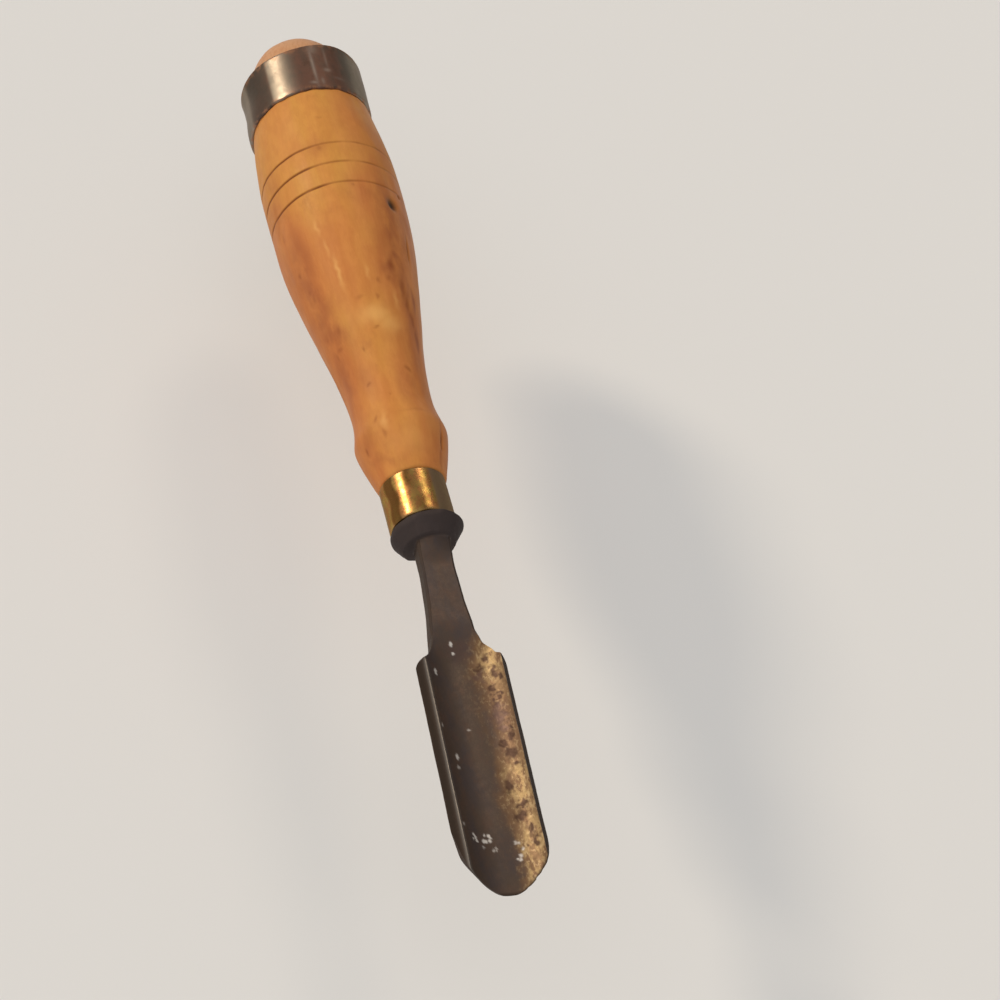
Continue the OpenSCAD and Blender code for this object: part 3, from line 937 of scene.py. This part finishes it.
class Shade:
    """Material with one Principled shader, built up node by node."""

    def __init__(self, name):
        self.material = bpy.data.materials.new(name)
        self.material.use_nodes = True
        self.tree = self.material.node_tree
        self.surface = self.tree.nodes["Principled BSDF"]
        self.place = self.tree.nodes.new("ShaderNodeTexCoord").outputs["Object"]

    def feed(self, socket, source):
        """Joins a socket to another, or sets it to a plain value."""
        if isinstance(source, bpy.types.NodeSocket):
            self.tree.links.new(source, socket)
        else:
            socket.default_value = source

    def mark(self, name):
        """Strength of a named vertex mark."""
        node = self.tree.nodes.new("ShaderNodeAttribute")
        node.attribute_name = name
        return node.outputs["Fac"]

    def noise(self, size, detail=3.0, roughness=0.55):
        """Noise from 0 to 1 with features of that size in millimetres along X, Y and Z."""
        mapping = self.tree.nodes.new("ShaderNodeMapping")
        mapping.inputs["Scale"].default_value = [1 / (side * MM) for side in size]
        self.feed(mapping.inputs["Vector"], self.place)
        node = self.tree.nodes.new("ShaderNodeTexNoise")
        self.feed(node.inputs["Vector"], mapping.outputs["Vector"])
        node.inputs["Scale"].default_value = 1.0
        node.inputs["Detail"].default_value = detail
        node.inputs["Roughness"].default_value = roughness
        return node.outputs["Fac"]

    def span(self, value, low, high, start=0.0, end=1.0):
        """Value from low to high, eased to run from start to end."""
        node = self.tree.nodes.new("ShaderNodeMapRange")
        node.interpolation_type = "SMOOTHSTEP"
        for key, source in zip(("Value", "From Min", "From Max", "To Min", "To Max"),
                               (value, low, high, start, end)):
            self.feed(node.inputs[key], source)
        return node.outputs["Result"]

    def math(self, kind, a, b):
        """Two values put together by an operation of that kind."""
        node = self.tree.nodes.new("ShaderNodeMath")
        node.operation = kind
        self.feed(node.inputs[0], a)
        self.feed(node.inputs[1], b)
        return node.outputs[0]

    def mix(self, share, a, b):
        """Colour that goes from a to b."""
        node = self.tree.nodes.new("ShaderNodeMix")
        node.data_type = "RGBA"
        self.feed(node.inputs[0], share)
        self.feed(node.inputs[6], a)
        self.feed(node.inputs[7], b)
        return node.outputs[2]

    def stain(self, name, strength, colour, over):
        """Colour laid over another where a mark is."""
        return self.mix(self.math("MULTIPLY", self.mark(name), strength), over, colour)

    def stains(self, layers, colour):
        """Colours laid over another in turn; each layer is a mark, its strength and its colour."""
        for name, strength, layer in layers:
            colour = self.stain(name, strength, layer, colour)
        return colour

    def bump(self, height, depth, below=None):
        """Bump of that depth in millimetres over another one."""
        node = self.tree.nodes.new("ShaderNodeBump")
        node.inputs["Distance"].default_value = depth * MM
        self.feed(node.inputs["Height"], height)
        if below is not None:
            self.feed(node.inputs["Normal"], below)
        return node.outputs["Normal"]

    def set(self, **inputs):
        """Feeds inputs of the shader; an underscore stands for a space in a name."""
        for name, source in inputs.items():
            self.feed(self.surface.inputs[name.replace("_", " ")], source)


# Colours of the wood
WOOD_YELLOW = (0.6, 0.278, 0.058, 1)
# Redder and darker wood: its own tone along the middle, painted shade on the sides away from the lit
# stripe
WOOD_RED_SHADE = (0.53, 0.182, 0.047, 1)
WOOD_GRAIN = (0.66, 0.275, 0.075, 1)
WOOD_FIBRE = (0.42, 0.14, 0.035, 1)
WOOD_MOTTLE = (0.43, 0.135, 0.036, 1)
WOOD_STAIN = (0.3, 0.085, 0.03, 1)
WOOD_PALE = (0.78, 0.42, 0.13, 1)
WOOD_DIRT = (0.34, 0.115, 0.035, 1)
WOOD_LAYERS = (
    ("spot", 0.75, (0.25, 0.065, 0.018, 1)),
    ("line", 0.95, (0.15, 0.036, 0.004, 1)),
    ("dark", 0.95, (0.022, 0.012, 0.006, 1)),
)
BUTT_LIGHT = (0.57, 0.325, 0.195, 1)
BUTT_PORE = (0.43, 0.21, 0.11, 1)
BUTT_KNOCK = (0.47, 0.23, 0.12, 1)

# Colours of the hoop
# The bare colours are bare metal; on the rubbed band they are a painted highlight
HOOP_BARE_GLEAM = (0.31, 0.26, 0.21, 1)
HOOP_GREY = (0.27, 0.235, 0.19, 1)
HOOP_BROWN = (0.185, 0.1, 0.074, 1)
HOOP_DARK = (0.12, 0.09, 0.073, 1)
# Colour of the painted shade beside the highlight
HOOP_PAINTED_SHADE = (0.075, 0.062, 0.052, 1)
HOOP_RUST = (0.09, 0.05, 0.032, 1)
HOOP_WORN = (0.33, 0.17, 0.1, 1)
HOOP_SCRATCH = (0.38, 0.33, 0.29, 1)
HOOP_SHEEN = (0.4, 0.36, 0.32, 1)

# Colours of the ferrule
BRASS_DEEP = (0.36, 0.21, 0.066, 1)
BRASS_LIGHT = (0.42, 0.275, 0.075, 1)
BRASS_TARNISH = (0.4, 0.18, 0.065, 1)
BRASS_LAYERS = (
    ("worn", 0.4, (0.5, 0.34, 0.15, 1)),
    ("dull", 0.9, (0.24, 0.17, 0.11, 1)),
    # painted shade in stripes
    ("painted_shade", 0.85, (0.13, 0.06, 0.014, 1)),
)
BRASS_SHEEN = (0.5, 0.45, 0.36, 1)

# Colours of the forging
STEEL_COOL = (0.08, 0.059, 0.055, 1)
STEEL_WARM = (0.094, 0.064, 0.048, 1)
STEEL_BLOTCH = (0.115, 0.066, 0.046, 1)
STEEL_LAYERS = (
    ("pit", 0.95, (0.055, 0.022, 0.011, 1)),
    ("rust", 0.8, (0.1, 0.055, 0.05, 1)),
    # painted shade
    ("shade", 0.75, (0.035, 0.025, 0.019, 1)),
    # worn edge and painted highlight
    ("arris", 0.55, (0.25, 0.235, 0.215, 1)),
    ("scale", 0.9, (0.05, 0.039, 0.038, 1)),
    ("fleck", 0.95, (0.72, 0.68, 0.64, 1)),
)
# Colours of the flute's patina and painted highlight
GOLD_BROWN = (0.17, 0.094, 0.048, 1)
GOLD_BRIGHT = (0.35, 0.24, 0.112, 1)
GOLD_SPECK = (0.12, 0.058, 0.028, 1)
GOLD_GRIT = (0.46, 0.34, 0.19, 1)

FLOOR_COLOUR = (0.764, 0.766, 0.766, 1)


def grain_colour(shade, fibre):
    """Colour of the clean wood along its grain."""
    grain = shade.span(shade.noise((70, 3.4, 3.4), 4), 0.36, 0.66, 0.0, 0.35)
    cloud = shade.span(shade.noise((24, 11, 11), 4), 0.34, 0.66, -0.2, 0.3)
    mottle = shade.span(shade.noise((4, 2, 2), 4, 0.6), 0.35, 0.65, 0.0, 0.22)
    # Redder along the middle, and redder and darker away from the lit stripe as painted shade
    redness_and_shade = shade.math("ADD", shade.mark("redness_and_shade"), cloud)
    colour = shade.mix(redness_and_shade, WOOD_YELLOW, WOOD_RED_SHADE)
    colour = shade.mix(grain, colour, WOOD_GRAIN)
    colour = shade.mix(shade.span(fibre, 0.45, 0.75, 0.0, 0.1), colour, WOOD_FIBRE)
    return shade.mix(mottle, colour, WOOD_MOTTLE)


def butt_colour(shade):
    """Colour of the end grain on the butt."""
    pore = shade.span(shade.noise((3, 0.5, 0.5), 3, 0.6), 0.45, 0.7, 0.0, 0.6)
    knock = shade.span(shade.noise((6, 4, 4), 4, 0.6), 0.5, 0.68, 0.0, 0.5)
    return shade.mix(knock, shade.mix(pore, BUTT_LIGHT, BUTT_PORE), BUTT_KNOCK)


def wood():
    """Turned wood with stains, dirt and marks."""
    shade = Shade("turned_wood")
    fibre = shade.noise((9, 0.3, 0.3))
    blotch = shade.span(shade.noise((7, 3.5, 3.5), 4), 0.28, 0.6, 0.25, 0.95)
    dirt = shade.span(shade.noise((14, 9, 9), 5, 0.65), 0.6, 0.75, 0.0, 0.3)
    colour = shade.stain("stain", blotch, WOOD_STAIN, grain_colour(shade, fibre))
    colour = shade.stain("end", 0.8, butt_colour(shade), colour)
    # Pale scuffs, and streaks of painted highlight along the lit stripe
    colour = shade.stain("pale", 0.7, WOOD_PALE, colour)
    colour = shade.stains(WOOD_LAYERS, shade.mix(dirt, colour, WOOD_DIRT))
    gloss = shade.span(shade.noise((14, 6, 6), 4), 0.3, 0.7, 0.46, 0.6)
    height = shade.bump(fibre, 0.015)
    height = shade.bump(shade.noise((5, 1.2, 1.2)), 0.05, height)
    shade.set(Base_Color=colour, Roughness=gloss, Normal=height, Specular_IOR_Level=0.2)
    return shade.material


def hoop_steel():
    """Steel under a dark patina, rubbed bare in places, with a painted highlight on the rubbed band
    and dark bands of painted shade.
    """
    shade = Shade("patinated_hoop")
    cloud = shade.span(shade.noise((10, 6, 6), 5, 0.6), 0.38, 0.62)
    fine = shade.noise((1.4, 1.4, 1.4), 4, 0.6)
    rust = shade.span(shade.noise((4, 4, 4), 5, 0.65), 0.6, 0.74, 0.0, 0.5)
    patina = shade.mix(cloud, HOOP_BROWN, HOOP_DARK)
    # Off the patina the bare colours show, and on the rubbed band they are a painted highlight
    colour = shade.stain("dull", 1.0, patina, shade.mix(cloud, HOOP_BARE_GLEAM, HOOP_GREY))
    # Painted shade: a dark band beside the highlight
    colour = shade.stain("painted_shade", 0.7, HOOP_PAINTED_SHADE, colour)
    colour = shade.mix(rust, colour, HOOP_RUST)
    worn = shade.math("MULTIPLY", shade.mark("worn"), shade.span(fine, 0.42, 0.62))
    colour = shade.mix(worn, colour, HOOP_WORN)
    # Light scratches, and on the left edge worn metal with a painted reflection
    colour = shade.stain("scratch", 0.7, HOOP_SCRATCH, colour)
    haze = shade.span(shade.mark("dull"), 0.0, 1.0, 0.0, 0.22)
    gloss = shade.math("ADD", shade.span(fine, 0.3, 0.7, 0.28, 0.38), haze)
    metal = shade.span(rust, 0.0, 1.0, 0.75, 0.4)
    height = shade.bump(shade.noise((2.5, 2.5, 2.5)), 0.02)
    height = shade.bump(shade.noise((9, 0.5, 0.5)), 0.006, height)
    shade.set(Base_Color=colour, Roughness=gloss, Metallic=metal, Normal=height)
    shade.set(Specular_Tint=HOOP_SHEEN)
    return shade.material


def ferrule_brass():
    """Tarnished brass, dull on one side, with painted shade in stripes."""
    shade = Shade("old_brass")
    cloud = shade.span(shade.noise((6, 5, 5), 5, 0.6), 0.35, 0.65)
    fine = shade.noise((1.0, 1.0, 1.0), 4, 0.6)
    tarnish = shade.span(shade.noise((4, 2, 2), 5, 0.65), 0.44, 0.54, 0.0, 0.9)
    colour = shade.mix(tarnish, shade.mix(cloud, BRASS_DEEP, BRASS_LIGHT), BRASS_TARNISH)
    colour = shade.stains(BRASS_LAYERS, colour)
    haze = shade.span(shade.mark("dull"), 0.0, 1.0, 0.0, 0.25)
    gloss = shade.math("ADD", shade.span(fine, 0.3, 0.7, 0.23, 0.35), haze)
    height = shade.bump(shade.noise((8, 0.4, 0.4)), 0.008)
    height = shade.bump(shade.noise((2, 2, 2)), 0.03, height)
    shade.set(Base_Color=colour, Roughness=gloss, Metallic=0.8, Normal=height)
    shade.set(Specular_Tint=BRASS_SHEEN)
    return shade.material


def gold_colour(shade, colour):
    """Brass-coloured patina and painted highlight over another colour, in patches with dark specks and
    bright grit.
    """
    gold = shade.mark("gold")
    patch = shade.span(shade.noise((5, 2.2, 2.2), 5, 0.65), 0.36, 0.58, 0.15, 1.0)
    speck = shade.span(shade.noise((2.6, 1.3, 1.3), 4, 0.6), 0.5, 0.62, 0.0, 0.85)
    grit = shade.span(shade.noise((1.2, 0.8, 0.8), 3, 0.6), 0.52, 0.66, 0.0, 0.6)
    bright = shade.math("MULTIPLY", shade.span(gold, 0.45, 1.0), patch)
    colour = shade.mix(shade.span(gold, 0.0, 0.6), colour, GOLD_BROWN)
    colour = shade.mix(bright, colour, GOLD_BRIGHT)
    colour = shade.mix(shade.math("MULTIPLY", gold, speck), colour, GOLD_SPECK)
    return shade.mix(shade.math("MULTIPLY", gold, grit), colour, GOLD_GRIT)


def blade_steel():
    """Aged steel, dull where shade is painted or where it has scale."""
    shade = Shade("aged_steel")
    cloud = shade.span(shade.noise((16, 5, 5), 4, 0.5), 0.36, 0.64)
    blotch = shade.span(shade.noise((4, 2.5, 2.5), 5, 0.65), 0.42, 0.66, 0.0, 0.5)
    colour = shade.mix(blotch, shade.mix(cloud, STEEL_COOL, STEEL_WARM), STEEL_BLOTCH)
    colour = shade.stains(STEEL_LAYERS, gold_colour(shade, colour))
    dull = shade.math("MAXIMUM", shade.mark("shade"), shade.mark("scale"))
    fine = shade.span(shade.noise((0.9, 0.9, 0.9), 4, 0.6), 0.3, 0.7, 0.42, 0.52)
    gloss = shade.math("ADD", fine, shade.span(dull, 0.0, 1.0, 0.0, 0.25))
    metal = shade.span(dull, 0.0, 1.0, 0.5, 0.15)
    height = shade.bump(shade.noise((18, 0.8, 0.8)), 0.02)
    height = shade.bump(shade.noise((1.6, 1.6, 1.6), 4, 0.6), 0.03, height)
    shade.set(Base_Color=colour, Roughness=gloss, Metallic=metal, Normal=height)
    shade.set(Specular_IOR_Level=shade.span(dull, 0.0, 1.3, 0.5, 0.04))
    return shade.material


def floor_paper():
    """Plain pale paper."""
    shade = Shade("pale_floor")
    shade.set(Base_Color=FLOOR_COLOUR, Roughness=0.9, Specular_IOR_Level=0.1)
    return shade.material


# Stage, in metres and degrees

FLOOR_DROP = 0.0446
FLOOR_HALF = 6.0
WARM = (1.0, 0.84, 0.64)
PLAIN = (1.0, 0.985, 0.965)
# Lamps: name, where the light comes from, spread, power, colour, shadow
LAMPS = (
    ("key", (-0.574, -0.653, 0.494), 9, 1.2, WARM, True),
    ("second", (-0.62, 0.317, 0.713), 14, 0.3, WARM, True),
    ("fill", (0.35, -0.28, 0.89), 60, 1.2, PLAIN, False),
)
SKY_FROM = (0.35, -0.62, 0.7)
SKY_EDGE = -0.4
SKY_DIM = (0.13, 0.129, 0.127, 1)
SKY_BRIGHT = (0.46, 0.453, 0.444, 1)
CAMERA_AT = (0.42409, -0.19053, 0.56689)
CAMERA_AZIMUTH = 62.28
CAMERA_ELEVATION = 50.46
CAMERA_ROLL = 17.51
CAMERA_LENS = 108.0
CAMERA_SENSOR = 36.0
CAMERA_NEAR = 0.05
CAMERA_FAR = 50.0


def build_floor():
    """Level floor, set below the part."""
    mesh = bpy.data.meshes.new("floor")
    corners = [(-1, -1), (1, -1), (1, 1), (-1, 1)]
    points = [(x * FLOOR_HALF, y * FLOOR_HALF, -FLOOR_DROP) for x, y in corners]
    mesh.from_pydata(points, [], [(0, 1, 2, 3)])
    mesh.materials.append(floor_paper())
    floor = bpy.data.objects.new("floor", mesh)
    bpy.context.scene.collection.objects.link(floor)


def build_lamp(name, source, spread, power, colour, shadow):
    """Distant lamp; one without shadow is a plain fill that the metals don't mirror."""
    lamp = bpy.data.lights.new(name, "SUN")
    lamp.energy = power
    lamp.angle = math.radians(spread)
    lamp.color = colour
    lamp.use_shadow = shadow
    holder = bpy.data.objects.new(name, lamp)
    holder.visible_glossy = shadow
    holder.rotation_euler = Vector(source).to_track_quat("Z", "Y").to_euler()
    bpy.context.scene.collection.objects.link(holder)


def build_sky():
    """Grey sky that is brightest on one side."""
    world = bpy.data.worlds.new("studio")
    bpy.context.scene.world = world
    world.use_nodes = True
    tree = world.node_tree
    place = tree.nodes.new("ShaderNodeTexCoord")
    facing = tree.nodes.new("ShaderNodeVectorMath")
    facing.operation = "DOT_PRODUCT"
    facing.inputs[1].default_value = Vector(SKY_FROM).normalized()
    span = tree.nodes.new("ShaderNodeMapRange")
    span.inputs["From Min"].default_value = SKY_EDGE
    blend = tree.nodes.new("ShaderNodeMix")
    blend.data_type = "RGBA"
    blend.inputs[6].default_value = SKY_DIM
    blend.inputs[7].default_value = SKY_BRIGHT
    tree.links.new(place.outputs["Generated"], facing.inputs[0])
    tree.links.new(facing.outputs["Value"], span.inputs["Value"])
    tree.links.new(span.outputs["Result"], blend.inputs[0])
    tree.links.new(blend.outputs[2], tree.nodes["Background"].inputs["Color"])


def build_camera():
    """Camera at the photo's angle, with plain tones."""
    data = bpy.data.cameras.new("camera")
    data.lens = CAMERA_LENS
    data.sensor_width = CAMERA_SENSOR
    data.clip_start = CAMERA_NEAR
    data.clip_end = CAMERA_FAR
    camera = bpy.data.objects.new("camera", data)
    tilt = math.radians(90 - CAMERA_ELEVATION)
    turn = math.radians(CAMERA_AZIMUTH)
    roll = math.radians(CAMERA_ROLL)
    aim = Matrix.Rotation(turn, 4, "Z") @ Matrix.Rotation(tilt, 4, "X")
    aim = aim @ Matrix.Rotation(roll, 4, "Z")
    camera.matrix_world = Matrix.Translation(CAMERA_AT) @ aim
    bpy.context.scene.collection.objects.link(camera)
    bpy.context.scene.camera = camera
    bpy.context.scene.view_settings.view_transform = "Standard"


hoop = band("hoop_ring", 0.0, HOOP_LEN, HOOP_R, HOOP_R - HOOP_WALL, HOOP_ROLL, hoop_shape, 11)
ferrule = band("ferrule_tube", FERRULE_AT, FERRULE_LEN, FERRULE_R, FERRULE_R - FERRULE_WALL,
               FERRULE_ROLL, ferrule_shape, 15)
dressed(build_handle(), "handle", wood())
dressed(hoop, "striking_hoop", hoop_steel())
dressed(ferrule, "ferrule", ferrule_brass())
dressed(build_blade(), "gouge_blade", blade_steel())

build_floor()
for lamp in LAMPS:
    build_lamp(*lamp)
build_sky()
build_camera()
